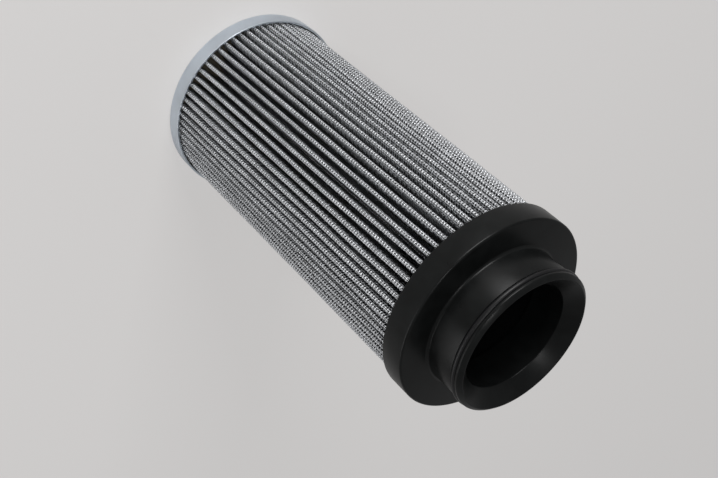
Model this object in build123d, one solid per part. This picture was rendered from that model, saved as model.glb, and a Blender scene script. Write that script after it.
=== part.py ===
from build123d import *
import os
from math import cos, floor, pi, radians, sin

# Pleated hydraulic filter element, standing on its closed steel end cap.
# Millimetres, +Z up, origin at the centre of the steel cap's outer face.
# A black moulded cap closes the top with a ported neck, and an O-ring seals the neck.

# Pleated pack: woven wire cloth folded together with the filter media behind it
pack_radius = 45.0            # over the pleat crests
cloth_thickness = 0.5
media_thickness = 0.4
crest_fold_gap = 0.2          # slit left inside each crest fold
crest_corner = 0.45           # how far the wire cloth rounds off at a crest
valley_gap = 0.5              # clear width at the bottom of each valley
valley_back_gap = 0.2         # slit left between pleats against the centre tube
pack_length = 178.5

# Perforated centre tube
tube_radius = 27.0            # outside
tube_wall = 0.8
window_width = 9.0
window_height = 9.0
window_rib = 5.0              # between one row of windows and the next
window_columns = 8
tube_plain_end = 10.0         # least length without windows at each end

# Both caps slip over the pack with this much room
pack_clearance = 0.3

# Steel end cap, a shallow pressed cup
steel_cap_height = 9.4
steel_sheet = 1.0
steel_corner_radius = 2.6

# Moulded end cap with its neck
rim_wall = 1.6
rim_height = 11.7
rim_edge_radius = 0.9
cover_thickness = 3.0
neck_radius = 33.4
neck_base_fillet = 1.4
neck_height = 14.4            # from the cover's face to the groove
bore_radius = 25.4
mouth_depth = 5.9
mouth_rim_width = 0.35        # narrow flat between the mouth and the lead-in
lip_radius = 33.9
lip_height = 2.6              # from the groove to the front edge
lead_in_width = 1.8
lead_in_height = 1.5

# O-ring and its groove
ring_section = 2.62
groove_width = 2.9
ring_stand_out = 0.35         # how far the ring stands proud of the lip

# Adhesive that holds the pack in both caps
bottom_adhesive_depth = 3.5
top_adhesive_depth = 2.5

fit_clearance = 0.1           # between round faces that fit into each other

# Levels along the axis, from the steel cap up
bottom_adhesive_top = steel_sheet + bottom_adhesive_depth
pack_top = bottom_adhesive_top + pack_length
recess_ceiling = pack_top + top_adhesive_depth
cover_face = recess_ceiling + cover_thickness
groove_bottom = cover_face + neck_height
groove_top = groove_bottom + groove_width
neck_end = groove_top + lip_height

# Radii that follow from the pieces that meet
sheet_thickness = cloth_thickness + media_thickness
valley_radius = tube_radius + fit_clearance
pleat_pitch_inside = 2 * sheet_thickness + valley_gap + valley_back_gap
pleat_count = floor(2 * pi * valley_radius / pleat_pitch_inside)
steel_cap_inside = pack_radius + pack_clearance
steel_cap_radius = steel_cap_inside + steel_sheet
rim_inside = pack_radius + pack_clearance
rim_radius = rim_inside + rim_wall
groove_radius = lip_radius + ring_stand_out - ring_section
mouth_radius = lip_radius - lead_in_width - mouth_rim_width
adhesive_inner_radius = tube_radius + fit_clearance


def disc_between(radius, bottom, top):
    """A cylinder on the axis from one level to another."""
    return Pos(0, 0, bottom) * Cylinder(
        radius, top - bottom, align=(Align.CENTER, Align.CENTER, Align.MIN)
    )


def ring_between(outer, inner, bottom, top):
    """A plain ring on the axis from one level to another."""
    return disc_between(outer, bottom, top) - disc_between(inner, bottom, top)


def circles_at(shape, radius, level):
    """The circular edges of a shape with this radius at this level."""
    near = 0.01
    return [
        edge
        for edge in shape.edges().filter_by(GeomType.CIRCLE)
        if abs(edge.radius - radius) < near and abs(edge.center().Z - level) < near
    ]


def fold_outline(depth):
    """Closed zigzag of one surface of the folded sheet, this deep below the outside."""
    corner = crest_corner * (1 - depth / sheet_thickness)
    crest_half = sheet_thickness + crest_fold_gap / 2 - depth
    crest_level = pack_radius - depth
    valley_half = valley_gap / 2 + depth
    valley_level = valley_radius + sheet_thickness - depth
    crest = [
        (-crest_half, crest_level - corner),
        (-crest_half + corner, crest_level),
        (crest_half - corner, crest_level),
        (crest_half, crest_level - corner),
    ]
    if depth == sheet_thickness:
        crest = crest[1:3]
    valley = [(-valley_half, valley_level), (valley_half, valley_level)]
    points = []
    for pleat in range(pleat_count):
        for half_turn, fold in enumerate((crest, valley)):
            angle = -radians(360 / pleat_count * (pleat + half_turn / 2))
            points += [
                (x * cos(angle) - y * sin(angle), x * sin(angle) + y * cos(angle))
                for x, y in fold
            ]
    return make_face(Polyline(*points, close=True))


def folded_layer(outside, inside):
    """One layer of the pack between two zigzag surfaces, standing in the lower adhesive."""
    return Pos(0, 0, bottom_adhesive_top) * extrude(outside - inside, pack_length)


def wire_cloth():
    return folded_layer(fold_outline(0), fold_outline(cloth_thickness))


def filter_media():
    return folded_layer(fold_outline(cloth_thickness), fold_outline(sheet_thickness))


def centre_tube():
    """Tube between the caps, with staggered rows of windows for the flow."""
    tube = ring_between(tube_radius, tube_radius - tube_wall, steel_sheet, recess_ceiling)
    tube_length = recess_ceiling - steel_sheet
    row_pitch = window_height + window_rib
    rows = floor((tube_length - 2 * tube_plain_end + window_rib) / row_pitch)
    first_row = steel_sheet + (tube_length - (rows - 1) * row_pitch) / 2
    step = 360 / window_columns
    cutter = Box(
        2 * tube_radius,
        window_width,
        window_height,
        align=(Align.MIN, Align.CENTER, Align.CENTER),
    )
    cutters = [
        Pos(0, 0, first_row + row * row_pitch)
        * Rot(0, 0, step * (column + row % 2 / 2))
        * cutter
        for row in range(rows)
        for column in range(window_columns)
    ]
    return tube - cutters


def steel_end_cap():
    """Pressed cup: a flat floor, a rounded corner and a short straight skirt."""
    outside = disc_between(steel_cap_radius, 0, steel_cap_height)
    outside = fillet(circles_at(outside, steel_cap_radius, 0), steel_corner_radius)
    inside = disc_between(steel_cap_inside, steel_sheet, steel_cap_height)
    inside = fillet(
        circles_at(inside, steel_cap_inside, steel_sheet), steel_corner_radius - steel_sheet
    )
    return outside - inside


def lower_adhesive():
    """Adhesive bed on the floor of the steel cap, round the foot of the centre tube."""
    outer_radius = steel_cap_inside - fit_clearance
    bed = ring_between(
        outer_radius, adhesive_inner_radius, steel_sheet, bottom_adhesive_top
    )
    return chamfer(circles_at(bed, outer_radius, steel_sheet), steel_corner_radius - steel_sheet)


def upper_adhesive():
    """Adhesive under the cover of the moulded cap, round the head of the centre tube."""
    return ring_between(
        rim_inside - fit_clearance, adhesive_inner_radius, pack_top, recess_ceiling
    )


def moulded_end_cap():
    """Cover with a rim, a neck with an O-ring groove, and a flared mouth, in one piece."""
    rim = disc_between(rim_radius, cover_face - rim_height, cover_face)
    rim = fillet(circles_at(rim, rim_radius, cover_face), rim_edge_radius)
    neck = disc_between(neck_radius, cover_face, groove_bottom)
    cap = rim + neck
    cap = fillet(circles_at(cap, neck_radius, cover_face), neck_base_fillet)
    groove_floor = disc_between(groove_radius, groove_bottom, groove_top)
    lip = disc_between(lip_radius, groove_top, neck_end)
    lip = chamfer(
        circles_at(lip, lip_radius, neck_end),
        lead_in_width,
        lead_in_height,
        reference=lip.faces().sort_by(Axis.Z)[-1],
    )
    cap = cap + groove_floor + lip
    recess = disc_between(rim_inside, cover_face - rim_height, recess_ceiling)
    bore = disc_between(bore_radius, recess_ceiling, neck_end)
    mouth = Pos(0, 0, neck_end - mouth_depth) * Cone(
        bore_radius, mouth_radius, mouth_depth, align=(Align.CENTER, Align.CENTER, Align.MIN)
    )
    return cap - recess - bore - mouth


def neck_o_ring():
    centre_radius = groove_radius + ring_section / 2 + fit_clearance / 2
    middle = (groove_bottom + groove_top) / 2
    return Pos(0, 0, middle) * Torus(centre_radius, ring_section / 2)


os.makedirs("parts", exist_ok=True)

pieces = {
    "bottom_end_cap": steel_end_cap,
    "bottom_adhesive": lower_adhesive,
    "centre_tube": centre_tube,
    "filter_media": filter_media,
    "outer_wire_cloth": wire_cloth,
    "top_adhesive": upper_adhesive,
    "top_end_cap": moulded_end_cap,
    "neck_o_ring": neck_o_ring,
}

for node, build in pieces.items():
    export_step(build(), "parts/" + node + ".step")
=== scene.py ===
import math

import bpy
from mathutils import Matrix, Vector


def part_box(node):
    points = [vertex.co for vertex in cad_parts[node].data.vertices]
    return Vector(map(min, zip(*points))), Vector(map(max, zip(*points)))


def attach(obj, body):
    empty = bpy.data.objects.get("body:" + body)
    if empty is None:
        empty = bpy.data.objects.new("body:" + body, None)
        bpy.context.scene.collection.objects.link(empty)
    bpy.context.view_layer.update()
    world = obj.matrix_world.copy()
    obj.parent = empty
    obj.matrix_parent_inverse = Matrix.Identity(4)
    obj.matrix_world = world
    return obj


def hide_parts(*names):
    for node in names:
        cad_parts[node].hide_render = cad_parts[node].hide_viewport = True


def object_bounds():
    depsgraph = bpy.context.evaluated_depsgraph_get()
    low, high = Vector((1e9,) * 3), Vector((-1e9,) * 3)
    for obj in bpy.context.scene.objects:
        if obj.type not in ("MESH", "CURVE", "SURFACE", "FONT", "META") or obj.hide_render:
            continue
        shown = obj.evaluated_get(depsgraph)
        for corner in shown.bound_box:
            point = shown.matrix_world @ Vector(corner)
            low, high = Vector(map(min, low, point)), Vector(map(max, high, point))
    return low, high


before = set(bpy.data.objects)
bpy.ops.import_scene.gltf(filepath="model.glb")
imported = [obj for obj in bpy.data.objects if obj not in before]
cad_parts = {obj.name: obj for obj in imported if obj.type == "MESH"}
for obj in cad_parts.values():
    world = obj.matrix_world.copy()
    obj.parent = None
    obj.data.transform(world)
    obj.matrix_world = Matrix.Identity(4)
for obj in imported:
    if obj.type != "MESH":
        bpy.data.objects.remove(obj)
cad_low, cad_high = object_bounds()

bl_info = {
    "name": "Pleated filter element",
    "version": (1, 0, 0),
    "blender": (4, 5, 0),
    "location": "View3D > Sidebar > Filter element",
    "description": "Builds the look of a pleated hydraulic filter element on its fixed frame",
    "category": "Object",
}

MM = 0.001
HALF_TURN = math.pi
FULL_TURN = 2 * math.pi

# How far a cross wire runs down each side of a fold, and the height of the lowest one
WIRE_REACH = 5.5 * MM
FIRST_WIRE = 6 * MM
# Depths below the crests at which the drawn cloth in the valleys starts and is complete
PATTERN_START = 4.6 * MM
PATTERN_FULL = 5.4 * MM
# Share of a spacing by which the weave shifts from one crest to the next
WEAVE_SHIFT = 0.38
# Depth of the sheets behind the wires, as shares of the wires they lie against
LINING_DEPTH = 1.3
MEDIA_DEPTH = 0.88
# Cuts along the axis that let a sheet follow the lean and the wander
SHEET_CUTS = 40
# Share of the floor's look, to the camera alone, that is even glow
FLOOR_GLOW = 0.6

# Levels and radii that the frame gives
pack_low, pack_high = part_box("outer_wire_cloth")
steel_low, steel_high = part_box("bottom_end_cap")
moulded_low, moulded_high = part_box("top_end_cap")
tube_low, tube_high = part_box("centre_tube")
ring_low, ring_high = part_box("neck_o_ring")
PACK_RADIUS = pack_high.y
STEEL_RADIUS = steel_high.x
RIM_RADIUS = moulded_high.x
TUBE_RADIUS = tube_high.x


def srgb(code):
    """A colour written as six hexadecimal sRGB digits, as linear values with full alpha."""
    parts = [int(code[i : i + 2], 16) / 255 for i in (1, 3, 5)]
    return [p / 12.92 if p <= 0.04045 else ((p + 0.055) / 1.055) ** 2.4 for p in parts] + [1.0]


# Settings


class PackSettings(bpy.types.PropertyGroup):
    """Folded wire cloth and media."""

    pleat_count: bpy.props.IntProperty(
        name="Pleats", description="Folds round the pack, a multiple of four", default=68, min=12
    )
    first_pleat: bpy.props.FloatProperty(
        name="First pleat", description="Place of the first crest round the pack",
        unit="ROTATION", default=math.radians(2.0),
    )
    bunching: bpy.props.FloatProperty(
        name="Bunching", description="How far the crests crowd together and open out",
        unit="ROTATION", default=math.radians(1.1),
    )
    lean: bpy.props.FloatProperty(
        name="Lean", description="Turn of the folds from end to end", unit="ROTATION",
        default=math.radians(-3.9),
    )
    wander: bpy.props.FloatProperty(
        name="Wander", description="How far the folds stray from true", unit="LENGTH",
        default=0.75 * MM,
    )
    crest_half_width: bpy.props.FloatProperty(
        name="Crest half width", description="Outside radius of each fold", unit="LENGTH",
        default=1.06 * MM,
    )
    valley_half_width: bpy.props.FloatProperty(
        name="Valley half width", description="Room at the foot of each valley", unit="LENGTH",
        default=0.25 * MM,
    )
    cross_wire: bpy.props.FloatProperty(
        name="Cross wire", description="Diameter of the wires round the folds", unit="LENGTH",
        default=0.66 * MM,
    )
    long_wire: bpy.props.FloatProperty(
        name="Long wire", description="Diameter of the wires along the folds", unit="LENGTH",
        default=0.32 * MM,
    )
    cross_spacing: bpy.props.FloatProperty(
        name="Cross spacing", description="From one cross wire to the next", unit="LENGTH",
        default=1.5 * MM,
    )
    long_spacing: bpy.props.FloatProperty(
        name="Long spacing", description="From one long wire to the next", unit="LENGTH",
        default=1.5 * MM,
    )
    wire_colour: bpy.props.FloatVectorProperty(
        name="Wire colour", subtype="COLOR", size=4, default=srgb("#DDDFE2"), min=0, max=1
    )
    # Dark media colour, painted shade: it darkens the gaps between the wires and the depths of
    # the folds
    media_shade_colour: bpy.props.FloatVectorProperty(
        name="Media colour", subtype="COLOR", size=4, default=srgb("#232323"), min=0, max=1
    )


class CapSettings(bpy.types.PropertyGroup):
    """Steel cap, moulded cap and O-ring."""

    zinc_colour: bpy.props.FloatVectorProperty(
        name="Zinc colour", subtype="COLOR", size=4, default=srgb("#D6DEE6"), min=0, max=1
    )
    nylon_colour: bpy.props.FloatVectorProperty(
        name="Nylon colour", subtype="COLOR", size=4, default=srgb("#0C0D0D"), min=0, max=1
    )
    rubber_colour: bpy.props.FloatVectorProperty(
        name="Rubber colour", subtype="COLOR", size=4, default=srgb("#0D0D0E"), min=0, max=1
    )
    round_segments: bpy.props.IntProperty(
        name="Round segments", description="Facets round each turned piece", default=192, min=32
    )


class StageSettings(bpy.types.PropertyGroup):
    """Floor, lamps and camera."""

    floor_colour: bpy.props.FloatVectorProperty(
        name="Floor colour", subtype="COLOR", size=4, default=srgb("#DBD9D8"), min=0, max=1
    )
    camera_place: bpy.props.FloatVectorProperty(
        name="Camera place", subtype="TRANSLATION", size=3, default=(0, -0.3975, 0.4116)
    )
    camera_turn: bpy.props.FloatVectorProperty(
        name="Camera turn", subtype="EULER", size=3,
        default=[math.radians(angle) for angle in (-42.31, -35.54, 145.37)],
    )
    lens: bpy.props.FloatProperty(name="Lens", description="Focal length in mm", default=55.8)


# Modelling helpers


def finish_piece(piece, node, slot, *materials):
    """Dresses a new piece, seats it on the body and lets it stand for its frame node."""
    piece.data.materials.clear()
    for material in materials:
        piece.data.materials.append(material)
    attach(piece, "root")
    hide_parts(node)
    return piece


def dress_node(node, material):
    """Puts a material on a frame node that is kept as it is."""
    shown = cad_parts[node]
    shown.data.materials.clear()
    shown.data.materials.append(material)


def only(piece):
    """Selects one object alone and makes it active."""
    bpy.ops.object.select_all(action="DESELECT")
    piece.select_set(True)
    bpy.context.view_layer.objects.active = piece


def turned(name, outline, segments):
    """A closed turned shape, extruded ring by ring through (radius, level) points."""
    bpy.ops.object.select_all(action="DESELECT")
    radius, level = outline[0]
    bpy.ops.mesh.primitive_circle_add(vertices=segments, radius=radius, location=(0, 0, level))
    piece = bpy.context.object
    piece.name = name
    bpy.ops.object.transform_apply()
    bpy.ops.object.mode_set(mode="EDIT")
    for next_radius, next_level in outline[1:] + outline[:1]:
        bpy.ops.mesh.extrude_region_move(
            TRANSFORM_OT_translate={"value": (0, 0, next_level - level)}
        )
        scale = next_radius / radius
        bpy.ops.transform.resize(
            value=(scale, scale, 1), center_override=(0, 0, next_level)
        )
        radius, level = next_radius, next_level
    bpy.ops.mesh.select_all(action="SELECT")
    bpy.ops.mesh.remove_doubles(threshold=0.001 * MM)
    bpy.ops.mesh.normals_make_consistent(inside=False)
    bpy.ops.object.mode_set(mode="OBJECT")
    return piece


def round_ring(piece, radius, level, width, segments=4):
    """Rounds the ring of edges at one radius and level of a turned piece."""
    near = 0.02 * MM
    only(piece)
    on_ring = {
        vertex.index
        for vertex in piece.data.vertices
        if abs(vertex.co.xy.length - radius) < near and abs(vertex.co.z - level) < near
    }
    bpy.ops.object.mode_set(mode="EDIT")
    bpy.ops.mesh.select_mode(type="EDGE")
    bpy.ops.mesh.select_all(action="DESELECT")
    bpy.ops.object.mode_set(mode="OBJECT")
    for edge in piece.data.edges:
        edge.select = set(edge.vertices) <= on_ring
    bpy.ops.object.mode_set(mode="EDIT")
    bpy.ops.mesh.bevel(offset=width, offset_type="OFFSET", segments=segments, affect="EDGES")
    bpy.ops.object.mode_set(mode="OBJECT")


def smooth(piece, angle=30):
    """Shades a piece smooth, with edges over an angle left sharp."""
    only(piece)
    bpy.ops.object.shade_smooth_by_angle(angle=math.radians(angle))


def lines_to_mesh(name, lines, thickness=0, height=0):
    """Mesh of several lines of points, as round wires or as upright sheets."""
    curve = bpy.data.curves.new(name, "CURVE")
    curve.dimensions = "3D"
    curve.bevel_depth = thickness / 2
    curve.bevel_resolution = 0
    curve.use_fill_caps = thickness > 0
    curve.extrude = height / 2
    for points, closed in lines:
        spline = curve.splines.new("POLY")
        spline.points.add(len(points) - 1)
        for spot, point in zip(spline.points, points):
            spot.co = (*point, 1)
        spline.use_cyclic_u = closed
    piece = bpy.data.objects.new(name, curve)
    bpy.context.scene.collection.objects.link(piece)
    only(piece)
    bpy.ops.object.convert(target="MESH")
    return bpy.context.object


def cut_across(sheet, cuts):
    """Divides the upright edges of a sheet so that it can bend along the axis."""
    only(sheet)
    for edge in sheet.data.edges:
        a, b = (sheet.data.vertices[i].co for i in edge.vertices)
        edge.select = abs(a.z - b.z) > 1 * MM
    bpy.ops.object.mode_set(mode="EDIT")
    bpy.ops.mesh.select_mode(type="EDGE")
    bpy.ops.mesh.subdivide(number_cuts=cuts)
    bpy.ops.object.mode_set(mode="OBJECT")


def turned_copies(piece, count):
    """Copies of a piece spread evenly about the axis, the piece itself the first."""
    copies = [piece]
    for number in range(1, count):
        only(piece)
        bpy.ops.object.duplicate(linked=False)
        copy = bpy.context.object
        copy.rotation_euler.z = number * FULL_TURN / count
        bpy.ops.object.transform_apply()
        copies.append(copy)
    return copies


def crest_turns(pack, count):
    """Angle of each crest from the front of the pack, a little crowded here and there."""
    step = FULL_TURN / pack.pleat_count
    even = [pack.first_pleat + number * step for number in range(count)]
    return [angle + pack.bunching * math.sin(4 * angle) for angle in even]


def at_turn(angle, across, outward):
    """The place of a point given across and outward from the axis, at an angle from front."""
    x = across * math.cos(angle) + outward * math.sin(angle)
    y = across * math.sin(angle) - outward * math.cos(angle)
    return x, y


def lean(piece, pack):
    """Turns the folds on evenly from the foot of the pack to its head."""
    only(piece)
    levels = [vertex.co.z for vertex in piece.data.vertices]
    twist = piece.modifiers.new("lean", "SIMPLE_DEFORM")
    twist.deform_method = "TWIST"
    twist.deform_axis = "Z"
    share = (max(levels) - min(levels)) / (pack_high.z - pack_low.z)
    twist.angle = pack.lean * share
    bpy.ops.object.modifier_apply(modifier=twist.name)


def wander(piece, amount):
    """Lets the folds stray a little sideways, slowly along the axis, the same on every layer."""
    cloud = bpy.data.textures.new("fold_wander", "CLOUDS")
    cloud.cloud_type = "COLOR"
    cloud.noise_scale = 7 * MM
    cloud.noise_depth = 1
    stretch = bpy.data.objects.new("fold_wander_guide", None)
    stretch.scale = (1, 1, 9)
    bpy.context.scene.collection.objects.link(stretch)
    bpy.context.view_layer.update()
    only(piece)
    bend = piece.modifiers.new("wander", "DISPLACE")
    bend.texture = cloud
    bend.texture_coords = "OBJECT"
    bend.texture_coords_object = stretch
    bend.direction = "RGB_TO_XYZ"
    bend.mid_level = 0.5
    bend.strength = amount
    bpy.ops.object.modifier_apply(modifier=bend.name)
    bpy.data.objects.remove(stretch)


# Materials


def add_node(tree, kind, links=None, **settings):
    """Adds a node with its settings, and feeds its sockets from values or other sockets."""
    node = tree.nodes.new(kind)
    for key, value in settings.items():
        setattr(node, key, value)
    for socket, source in (links or {}).items():
        if isinstance(source, bpy.types.NodeSocket):
            tree.links.new(source, node.inputs[socket])
        else:
            node.inputs[socket].default_value = source
    return node


def new_material(name):
    """An empty material's name, node tree and object coordinates."""
    material = bpy.data.materials.new(name)
    material.use_nodes = True
    tree = material.node_tree
    tree.nodes.clear()
    place = add_node(tree, "ShaderNodeTexCoord").outputs["Object"]
    return material, tree, place


def close_material(tree, shader):
    """Feeds the finished shader to the material's output."""
    add_node(tree, "ShaderNodeOutputMaterial", {"Surface": shader.outputs[0]})


def zinc_plated_steel(caps):
    """Clear-passivated zinc: soft satin sheen, faint bluish clouding, fine drawing marks."""
    material, tree, place = new_material("zinc_plated_steel_satin")
    clouding = add_node(
        tree, "ShaderNodeTexNoise", {"Vector": place, "Scale": 1 / (14 * MM), "Detail": 3.0}
    )
    tint = add_node(tree, "ShaderNodeValToRGB", {"Fac": clouding.outputs["Fac"]})
    tint.color_ramp.elements[0].position = 0.3
    tint.color_ramp.elements[0].color = [c * 0.86 for c in caps.zinc_colour[:3]] + [1]
    tint.color_ramp.elements[1].position = 0.7
    tint.color_ramp.elements[1].color = caps.zinc_colour
    stretched = add_node(
        tree, "ShaderNodeMapping", {"Vector": place, "Scale": (1, 1, 0.12)}
    )
    marks = add_node(
        tree, "ShaderNodeTexNoise",
        {"Vector": stretched.outputs[0], "Scale": 1 / (0.5 * MM), "Detail": 2.0},
    )
    rough = add_node(
        tree, "ShaderNodeMapRange",
        {"Value": clouding.outputs["Fac"], "To Min": 0.30, "To Max": 0.44},
    )
    bump = add_node(
        tree, "ShaderNodeBump",
        {"Height": marks.outputs["Fac"], "Strength": 0.25, "Distance": 0.02 * MM},
    )
    shader = add_node(
        tree, "ShaderNodeBsdfPrincipled",
        {
            "Base Color": tint.outputs["Color"], "Metallic": 1.0,
            "Roughness": rough.outputs["Result"], "Normal": bump.outputs["Normal"],
        },
    )
    close_material(tree, shader)
    return material


def glass_filled_nylon(caps):
    """Black glass-filled nylon: near-matte skin with a fine grain and cloudy flow marks."""
    material, tree, place = new_material("glass_filled_nylon_moulded")
    flow = add_node(
        tree, "ShaderNodeTexNoise",
        {"Vector": place, "Scale": 1 / (9 * MM), "Detail": 4.0, "Distortion": 0.6},
    )
    tint = add_node(tree, "ShaderNodeValToRGB", {"Fac": flow.outputs["Fac"]})
    tint.color_ramp.elements[0].position = 0.35
    tint.color_ramp.elements[0].color = caps.nylon_colour
    tint.color_ramp.elements[1].position = 0.75
    tint.color_ramp.elements[1].color = [c * 1.7 for c in caps.nylon_colour[:3]] + [1]
    rough = add_node(
        tree, "ShaderNodeMapRange",
        {"Value": flow.outputs["Fac"], "To Min": 0.24, "To Max": 0.36},
    )
    grain = add_node(
        tree, "ShaderNodeTexNoise", {"Vector": place, "Scale": 1 / (0.35 * MM), "Detail": 3.0}
    )
    bump = add_node(
        tree, "ShaderNodeBump",
        {"Height": grain.outputs["Fac"], "Strength": 0.25, "Distance": 0.02 * MM},
    )
    shader = add_node(
        tree, "ShaderNodeBsdfPrincipled",
        {
            "Base Color": tint.outputs["Color"], "Roughness": rough.outputs["Result"],
            "Normal": bump.outputs["Normal"], "IOR": 1.53, "Specular IOR Level": 0.11,
        },
    )
    close_material(tree, shader)
    return material


def nitrile_rubber(caps):
    """Black nitrile rubber: a faint, soft sheen from oil."""
    material, tree, place = new_material("nitrile_rubber_oiled")
    bloom = add_node(
        tree, "ShaderNodeTexNoise", {"Vector": place, "Scale": 1 / (5 * MM), "Detail": 3.0}
    )
    tint = add_node(tree, "ShaderNodeValToRGB", {"Fac": bloom.outputs["Fac"]})
    tint.color_ramp.elements[0].color = caps.rubber_colour
    tint.color_ramp.elements[1].color = [c * 1.6 for c in caps.rubber_colour[:3]] + [1]
    rough = add_node(
        tree, "ShaderNodeMapRange",
        {"Value": bloom.outputs["Fac"], "To Min": 0.32, "To Max": 0.46},
    )
    shader = add_node(
        tree, "ShaderNodeBsdfPrincipled",
        {
            "Base Color": tint.outputs["Color"], "Roughness": rough.outputs["Result"],
            "IOR": 1.52, "Specular IOR Level": 0.2,
        },
    )
    close_material(tree, shader)
    return material


def drawn_steel_wire(pack):
    """Drawn steel wire: a bright but broad sheen, a little uneven along its length."""
    material, tree, place = new_material("drawn_steel_wire_bright")
    wear = add_node(
        tree, "ShaderNodeTexNoise", {"Vector": place, "Scale": 1 / (6 * MM), "Detail": 3.0}
    )
    tint = add_node(tree, "ShaderNodeValToRGB", {"Fac": wear.outputs["Fac"]})
    tint.color_ramp.elements[0].position = 0.3
    tint.color_ramp.elements[0].color = [c * 0.8 for c in pack.wire_colour[:3]] + [1]
    tint.color_ramp.elements[1].position = 0.65
    tint.color_ramp.elements[1].color = pack.wire_colour
    shader = add_node(
        tree, "ShaderNodeBsdfPrincipled",
        {"Base Color": tint.outputs["Color"], "Metallic": 1.0, "Roughness": 0.46},
    )
    close_material(tree, shader)
    return material


def cloth_in_valleys(pack):
    """The same cloth deep in the folds, its wires drawn as a pattern over the dark media colour,
    which is painted shade.
    """
    material, tree, place = new_material("wire_cloth_in_valleys")
    split = add_node(tree, "ShaderNodeSeparateXYZ", {"Vector": place})
    flat = add_node(
        tree, "ShaderNodeCombineXYZ", {"X": split.outputs["X"], "Y": split.outputs["Y"]}
    )
    radius = add_node(
        tree, "ShaderNodeVectorMath", {0: flat.outputs[0]}, operation="LENGTH"
    )
    waves = []
    for distance, spacing in (
        (radius.outputs["Value"], pack.long_spacing), (split.outputs["Z"], pack.cross_spacing)
    ):
        turns = add_node(
            tree, "ShaderNodeMath", {0: distance, 1: FULL_TURN / spacing}, operation="MULTIPLY"
        )
        waves.append(add_node(tree, "ShaderNodeMath", {0: turns.outputs[0]}, operation="COSINE"))
    wires = add_node(
        tree, "ShaderNodeMath", {0: waves[0].outputs[0], 1: waves[1].outputs[0]},
        operation="MAXIMUM",
    )
    mask = add_node(
        tree, "ShaderNodeMapRange",
        {"Value": wires.outputs[0], "From Min": 0.45, "From Max": 0.8},
    )
    # Nearer the crests than this the sheet shows only the dark media colour, painted shade
    # behind the real wires
    below = add_node(
        tree, "ShaderNodeMapRange",
        {
            "Value": radius.outputs["Value"],
            "From Min": PACK_RADIUS - PATTERN_FULL, "From Max": PACK_RADIUS - PATTERN_START,
            "To Min": 1.0, "To Max": 0.0,
        },
    )
    drawn = add_node(
        tree, "ShaderNodeMath", {0: mask.outputs["Result"], 1: below.outputs["Result"]},
        operation="MULTIPLY",
    )
    bump = add_node(
        tree, "ShaderNodeBump",
        {"Height": drawn.outputs[0], "Strength": 0.8, "Distance": 0.2 * MM},
    )
    # Drawn wires over the dark media colour, which is painted shade of the folds
    colour = add_node(
        tree, "ShaderNodeMix",
        {0: drawn.outputs[0], 6: pack.media_shade_colour, 7: pack.wire_colour},
        data_type="RGBA",
    )
    shader = add_node(
        tree, "ShaderNodeBsdfPrincipled",
        {
            "Base Color": colour.outputs[2], "Metallic": drawn.outputs[0],
            "Roughness": 0.4, "Normal": bump.outputs["Normal"],
        },
    )
    close_material(tree, shader)
    return material


def glass_fibre_media(pack):
    """Glass fibre media, matte and felted; its dark colour is painted shade of the deep folds.
    """
    material, tree, place = new_material("glass_fibre_media_painted_shade")
    felt = add_node(
        tree, "ShaderNodeTexNoise", {"Vector": place, "Scale": 1 / (0.6 * MM), "Detail": 4.0}
    )
    tint = add_node(tree, "ShaderNodeValToRGB", {"Fac": felt.outputs["Fac"]})
    tint.color_ramp.elements[0].color = [c * 0.6 for c in pack.media_shade_colour[:3]] + [1]
    tint.color_ramp.elements[1].color = [c * 1.4 for c in pack.media_shade_colour[:3]] + [1]
    bump = add_node(
        tree, "ShaderNodeBump",
        {"Height": felt.outputs["Fac"], "Strength": 0.5, "Distance": 0.05 * MM},
    )
    shader = add_node(
        tree, "ShaderNodeBsdfPrincipled",
        {
            "Base Color": tint.outputs["Color"], "Roughness": 0.85,
            "Normal": bump.outputs["Normal"],
        },
    )
    close_material(tree, shader)
    return material


def cured_resin():
    """Cured potting resin, honey-grey and softly glossy."""
    material, tree, place = new_material("cured_potting_resin")
    swirl = add_node(
        tree, "ShaderNodeTexNoise", {"Vector": place, "Scale": 1 / (4 * MM), "Detail": 3.0}
    )
    tint = add_node(tree, "ShaderNodeValToRGB", {"Fac": swirl.outputs["Fac"]})
    tint.color_ramp.elements[0].color = srgb("#4A463D")
    tint.color_ramp.elements[1].color = srgb("#6A6455")
    shader = add_node(
        tree, "ShaderNodeBsdfPrincipled",
        {"Base Color": tint.outputs["Color"], "Roughness": 0.35, "IOR": 1.55},
    )
    close_material(tree, shader)
    return material


def dull_plated_steel():
    """Dull plated tube steel, slightly stained."""
    material, tree, place = new_material("dull_plated_tube_steel")
    stain = add_node(
        tree, "ShaderNodeTexNoise", {"Vector": place, "Scale": 1 / (10 * MM), "Detail": 4.0}
    )
    tint = add_node(tree, "ShaderNodeValToRGB", {"Fac": stain.outputs["Fac"]})
    tint.color_ramp.elements[0].color = srgb("#2C2D2E")
    tint.color_ramp.elements[1].color = srgb("#454749")
    shader = add_node(
        tree, "ShaderNodeBsdfPrincipled",
        {"Base Color": tint.outputs["Color"], "Metallic": 1.0, "Roughness": 0.45},
    )
    close_material(tree, shader)
    return material


def pale_floor(stage):
    """Pale grey table: lights the object as paint does, and shows almost even to the camera."""
    material, tree, place = new_material("pale_floor")
    paint = add_node(
        tree, "ShaderNodeBsdfPrincipled", {"Base Color": stage.floor_colour, "Roughness": 0.9}
    )
    glow = add_node(
        tree, "ShaderNodeEmission", {"Color": stage.floor_colour, "Strength": 1.0}
    )
    seen = add_node(tree, "ShaderNodeLightPath").outputs["Is Camera Ray"]
    share = add_node(tree, "ShaderNodeMath", {0: seen, 1: FLOOR_GLOW}, operation="MULTIPLY")
    mixed = add_node(
        tree, "ShaderNodeMixShader",
        {0: share.outputs[0], 1: paint.outputs[0], 2: glow.outputs[0]},
    )
    close_material(tree, mixed)
    return material


# Pieces


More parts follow.
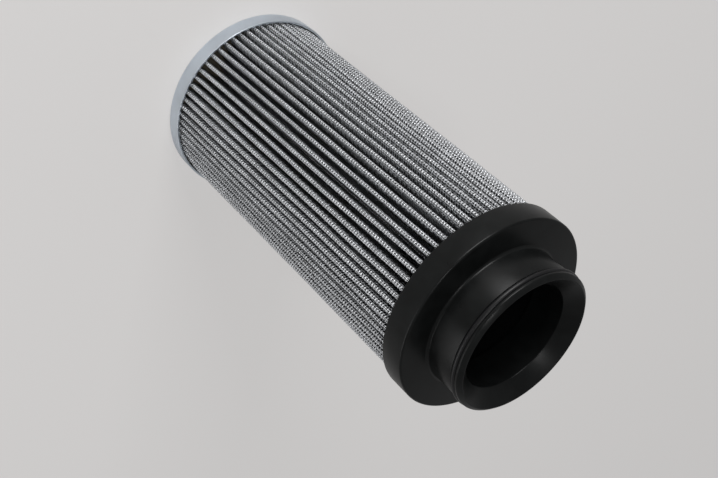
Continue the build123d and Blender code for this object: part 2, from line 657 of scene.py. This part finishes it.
class FILTER_OT_wire_cloth(bpy.types.Operator):
    """Weave the wire cloth over every pleat crest and line the valleys with it"""

    bl_idname = "filter_element.wire_cloth"
    bl_label = "Wire cloth"

    def fold_point(self, pack, along, depth):
        """A point of the folded cloth, measured along it from the crest and inwards."""
        radius = pack.crest_half_width - depth
        quarter = pack.crest_half_width * HALF_TURN / 2
        centre = PACK_RADIUS - pack.crest_half_width
        if abs(along) < quarter:
            angle = along / pack.crest_half_width
            return radius * math.sin(angle), centre + radius * math.cos(angle)
        return math.copysign(radius, along), centre - (abs(along) - quarter)

    def crest_lines(self, pack, turn, shift):
        """Routes of the cross wires and of the long wires over one crest."""
        start = steel_low.z + FIRST_WIRE
        rows = int((pack_high.z - start) / pack.cross_spacing)
        middle = (pack.cross_wire + pack.long_wire) / 2
        rise = middle / 2
        arc = pack.crest_half_width * HALF_TURN / 4
        cross_stops = [-WIRE_REACH, -2 * arc, -arc, 0, arc, 2 * arc, WIRE_REACH]
        cross_lines = []
        for row in range(rows):
            points = []
            for along in cross_stops:
                beat = HALF_TURN * ((along - shift) / pack.long_spacing + row)
                x, y = self.fold_point(pack, along, middle - 0.5 * rise * math.cos(beat))
                points.append((*at_turn(turn, x, y), start + row * pack.cross_spacing))
            cross_lines.append((points, False))
        long_lines = []
        for number in range(-2, 3):
            along = shift + number * pack.long_spacing
            points = []
            for row in range(rows):
                over = -1 if (row + number) % 2 == 0 else 1
                x, y = self.fold_point(pack, along, middle - over * rise)
                points.append((*at_turn(turn, x, y), start + row * pack.cross_spacing))
            long_lines.append((points, False))
        return cross_lines, long_lines

    def execute(self, context):
        pack = context.scene.filter_pack
        wire = drawn_steel_wire(pack)
        cross_lines = []
        long_lines = []
        for number, turn in enumerate(crest_turns(pack, pack.pleat_count // 4)):
            shift = ((number * WEAVE_SHIFT) % 1 - 0.5) * pack.long_spacing
            cross, long = self.crest_lines(pack, turn, shift)
            cross_lines += cross
            long_lines += long
        for name, lines, thickness in (
            ("cross_wires", cross_lines, pack.cross_wire),
            ("long_wires", long_lines, pack.long_wire),
        ):
            quarter = lines_to_mesh(name, lines, thickness=thickness)
            only(quarter)
            bpy.ops.object.shade_smooth()
            for number, piece in enumerate(turned_copies(quarter, 4), start=1):
                piece.name = f"{name}_{number}"
                lean(piece, pack)
                wander(piece, pack.wander)
                finish_piece(piece, "outer_wire_cloth", "woven_wire", wire)
        self.line_valleys(pack)
        return {"FINISHED"}

    def line_valleys(self, pack):
        """Upright sheets down the legs and round the foot of every valley."""
        depth = LINING_DEPTH * pack.cross_wire
        middle = (pack_low.z + pack_high.z) / 2
        foot = TUBE_RADIUS + 1.1 * MM
        leg = pack.crest_half_width - depth
        top = PACK_RADIUS - pack.crest_half_width - 0.6 * MM
        turns = crest_turns(pack, pack.pleat_count + 1)
        lines = []
        for near, far in zip(turns, turns[1:]):
            half = (far - near) / 2
            spread = foot * math.sin(half) - pack.valley_half_width
            points = [
                at_turn(near, leg, top), at_turn(near, leg, (top + foot) / 2),
                at_turn(near, spread, foot), at_turn(far, -spread, foot),
                at_turn(far, -leg, (top + foot) / 2), at_turn(far, -leg, top),
            ]
            lines.append(([(x, y, middle) for x, y in points], False))
        sheet = lines_to_mesh("valley_cloth", lines, height=pack_high.z - pack_low.z)
        cut_across(sheet, SHEET_CUTS)
        lean(sheet, pack)
        wander(sheet, pack.wander)
        finish_piece(sheet, "outer_wire_cloth", "woven_wire", cloth_in_valleys(pack))


class FILTER_OT_media(bpy.types.Operator):
    """Fold the filter media behind the wire cloth"""

    bl_idname = "filter_element.media"
    bl_label = "Filter media"

    def execute(self, context):
        pack = context.scene.filter_pack
        depth = MEDIA_DEPTH * (pack.cross_wire + pack.long_wire)
        half = max(pack.crest_half_width - depth, 0.1 * MM)
        centre = PACK_RADIUS - pack.crest_half_width
        foot = TUBE_RADIUS + 0.6 * MM
        spread = 0.3 * MM
        crest = [
            (half * math.sin(angle), centre + half * math.cos(angle))
            for angle in (HALF_TURN * k / 4 - HALF_TURN / 2 for k in range(5))
        ]
        middle = (pack_high.z + pack_low.z) / 2
        points = []
        for turn in crest_turns(pack, pack.pleat_count):
            for across, outward in [(-spread, foot), *crest, (spread, foot)]:
                points.append((*at_turn(turn, across, outward), middle))
        media = lines_to_mesh("folded_media", [(points, True)], height=pack_high.z - pack_low.z)
        cut_across(media, SHEET_CUTS)
        lean(media, pack)
        wander(media, pack.wander)
        finish_piece(media, "filter_media", "filter_media", glass_fibre_media(pack))
        return {"FINISHED"}


class FILTER_OT_steel_cap(bpy.types.Operator):
    """Turn the pressed steel end cap"""

    bl_idname = "filter_element.steel_cap"
    bl_label = "Steel end cap"

    def execute(self, context):
        caps = context.scene.filter_caps
        sheet = 1.0 * MM
        corner = 2.6 * MM
        inside = STEEL_RADIUS - sheet
        top = steel_high.z
        hub = 0.4 * MM
        outline = [
            (hub, 0), (STEEL_RADIUS, 0), (STEEL_RADIUS, top),
            (inside, top), (inside, sheet), (hub, sheet),
        ]
        cap = turned("steel_end_cap", outline, caps.round_segments)
        round_ring(cap, STEEL_RADIUS, 0, corner, 8)
        round_ring(cap, inside, sheet, corner - sheet, 5)
        round_ring(cap, STEEL_RADIUS, top, 0.12 * MM, 3)
        round_ring(cap, inside, top, 0.08 * MM, 2)
        smooth(cap)
        finish_piece(cap, "bottom_end_cap", "zinc_plated_steel", zinc_plated_steel(caps))
        return {"FINISHED"}


class FILTER_OT_moulded_cap(bpy.types.Operator):
    """Turn the black moulded end cap with its neck, groove, lip and flared mouth"""

    bl_idname = "filter_element.moulded_cap"
    bl_label = "Moulded end cap"

    def execute(self, context):
        caps = context.scene.filter_caps
        end = moulded_high.z
        low = moulded_low.z
        face = low + 11.7 * MM
        ceiling = face - 3.0 * MM
        groove_bottom = face + 14.4 * MM
        groove_top = groove_bottom + 2.9 * MM
        lip_radius = 33.9 * MM
        neck_radius = 33.4 * MM
        groove_radius = 31.63 * MM
        bore_radius = 25.4 * MM
        rim_inside = RIM_RADIUS - 1.6 * MM
        mouth_radius = lip_radius - 2.15 * MM
        outline = [
            (bore_radius, ceiling), (rim_inside, ceiling), (rim_inside, low),
            (RIM_RADIUS, low), (RIM_RADIUS, face), (neck_radius, face),
            (neck_radius, groove_bottom), (groove_radius, groove_bottom),
            (groove_radius, groove_top), (lip_radius, groove_top),
            (lip_radius, end - 1.5 * MM), (lip_radius - 1.8 * MM, end),
            (mouth_radius, end), (bore_radius, end - 5.9 * MM),
        ]
        cap = turned("moulded_end_cap", outline, caps.round_segments)
        round_ring(cap, RIM_RADIUS, face, 0.9 * MM, 5)
        round_ring(cap, RIM_RADIUS, low, 0.3 * MM, 3)
        round_ring(cap, neck_radius, face, 1.4 * MM, 5)
        round_ring(cap, neck_radius, groove_bottom, 0.15 * MM, 2)
        round_ring(cap, lip_radius, groove_top, 0.15 * MM, 2)
        round_ring(cap, lip_radius, end - 1.5 * MM, 0.4 * MM, 3)
        round_ring(cap, lip_radius - 1.8 * MM, end, 0.1 * MM, 2)
        round_ring(cap, bore_radius, end - 5.9 * MM, 0.3 * MM, 3)
        smooth(cap)
        finish_piece(cap, "top_end_cap", "black_nylon", glass_filled_nylon(caps))
        return {"FINISHED"}


class FILTER_OT_o_ring(bpy.types.Operator):
    """Fit the O-ring in the neck's groove"""

    bl_idname = "filter_element.o_ring"
    bl_label = "O-ring"

    def execute(self, context):
        caps = context.scene.filter_caps
        section = (ring_high.z - ring_low.z) / 2
        bpy.ops.object.select_all(action="DESELECT")
        bpy.ops.mesh.primitive_torus_add(
            location=(0, 0, (ring_high.z + ring_low.z) / 2),
            major_radius=ring_high.x - section,
            minor_radius=section,
            major_segments=caps.round_segments,
            minor_segments=24,
        )
        ring = bpy.context.object
        ring.name = "neck_seal_ring"
        bpy.ops.object.transform_apply()
        smooth(ring, 60)
        finish_piece(ring, "neck_o_ring", "black_rubber", nitrile_rubber(caps))
        return {"FINISHED"}


class FILTER_OT_inner_parts(bpy.types.Operator):
    """Dress the adhesive beds and the centre tube"""

    bl_idname = "filter_element.inner_parts"
    bl_label = "Adhesive and centre tube"

    def execute(self, context):
        resin = cured_resin()
        dress_node("bottom_adhesive", resin)
        dress_node("top_adhesive", resin)
        dress_node("centre_tube", dull_plated_steel())
        return {"FINISHED"}


class FILTER_OT_stage(bpy.types.Operator):
    """Set out the floor, the lamps and the camera"""

    bl_idname = "filter_element.stage"
    bl_label = "Stage"

    def add_lamp(self, name, place, aim, size, power):
        """A soft lamp of some width and height that faces a point."""
        light = bpy.data.lights.new(name, "AREA")
        light.shape = "RECTANGLE"
        light.size, light.size_y = size
        light.energy = power
        lamp = bpy.data.objects.new(name, light)
        lamp.location = place
        lamp.rotation_euler = (Vector(aim) - Vector(place)).to_track_quat("-Z", "Y").to_euler()
        bpy.context.scene.collection.objects.link(lamp)

    def execute(self, context):
        stage = context.scene.filter_stage
        bpy.ops.object.select_all(action="DESELECT")
        bpy.ops.mesh.primitive_plane_add(size=8)
        floor = bpy.context.object
        floor.name = "floor"
        floor.data.materials.append(pale_floor(stage))
        middle = (cad_low + cad_high) / 2
        self.add_lamp("side_softbox", (-0.75, -0.95, 0.32), middle, (0.6, 0.6), 14)
        self.add_lamp("low_fill", (1.0, -0.45, 0.1), middle, (0.9, 0.17), 3)
        self.add_lamp("front_spark", (0.03, -0.58, 1.0), middle, (0.15, 0.15), 2)
        world = bpy.data.worlds.new("studio")
        context.scene.world = world
        world.use_nodes = True
        tree = world.node_tree
        tree.nodes.clear()
        seen = add_node(tree, "ShaderNodeLightPath").outputs["Is Camera Ray"]
        dim = add_node(tree, "ShaderNodeBackground", {"Color": (1, 1, 1, 1), "Strength": 0.36})
        pale = add_node(
            tree, "ShaderNodeBackground", {"Color": stage.floor_colour, "Strength": 1.0}
        )
        mixed = add_node(
            tree, "ShaderNodeMixShader", {0: seen, 1: dim.outputs[0], 2: pale.outputs[0]}
        )
        add_node(tree, "ShaderNodeOutputWorld", {"Surface": mixed.outputs[0]})
        camera_data = bpy.data.cameras.new("camera")
        camera_data.lens = stage.lens
        camera_data.clip_start = 0.01
        camera = bpy.data.objects.new("camera", camera_data)
        camera.location = stage.camera_place
        camera.rotation_euler = stage.camera_turn
        context.scene.collection.objects.link(camera)
        context.scene.camera = camera
        context.scene.view_settings.view_transform = "Standard"
        return {"FINISHED"}


class FILTER_PT_panel(bpy.types.Panel):
    """Lists the steps that build the filter element"""

    bl_label = "Filter element"
    bl_space_type = "VIEW_3D"
    bl_region_type = "UI"
    bl_category = "Filter element"

    def draw(self, context):
        for step in STEPS:
            self.layout.operator(step.bl_idname)
        for group in ("filter_pack", "filter_caps", "filter_stage"):
            settings = getattr(context.scene, group)
            box = self.layout.box()
            for name in settings.__annotations__:
                box.prop(settings, name)


STEPS = (
    FILTER_OT_wire_cloth,
    FILTER_OT_media,
    FILTER_OT_steel_cap,
    FILTER_OT_moulded_cap,
    FILTER_OT_o_ring,
    FILTER_OT_inner_parts,
    FILTER_OT_stage,
)
GROUPS = {
    "filter_pack": PackSettings,
    "filter_caps": CapSettings,
    "filter_stage": StageSettings,
}


def register():
    for group in GROUPS.values():
        bpy.utils.register_class(group)
    for name, group in GROUPS.items():
        setattr(bpy.types.Scene, name, bpy.props.PointerProperty(type=group))
    for step in STEPS:
        bpy.utils.register_class(step)
    bpy.utils.register_class(FILTER_PT_panel)


def unregister():
    bpy.utils.unregister_class(FILTER_PT_panel)
    for step in reversed(STEPS):
        bpy.utils.unregister_class(step)
    for name in GROUPS:
        delattr(bpy.types.Scene, name)
    for group in reversed(list(GROUPS.values())):
        bpy.utils.unregister_class(group)


def main():
    register()
    bpy.ops.filter_element.wire_cloth()
    bpy.ops.filter_element.media()
    bpy.ops.filter_element.steel_cap()
    bpy.ops.filter_element.moulded_cap()
    bpy.ops.filter_element.o_ring()
    bpy.ops.filter_element.inner_parts()
    bpy.ops.filter_element.stage()


if __name__ == "__main__":
    main()
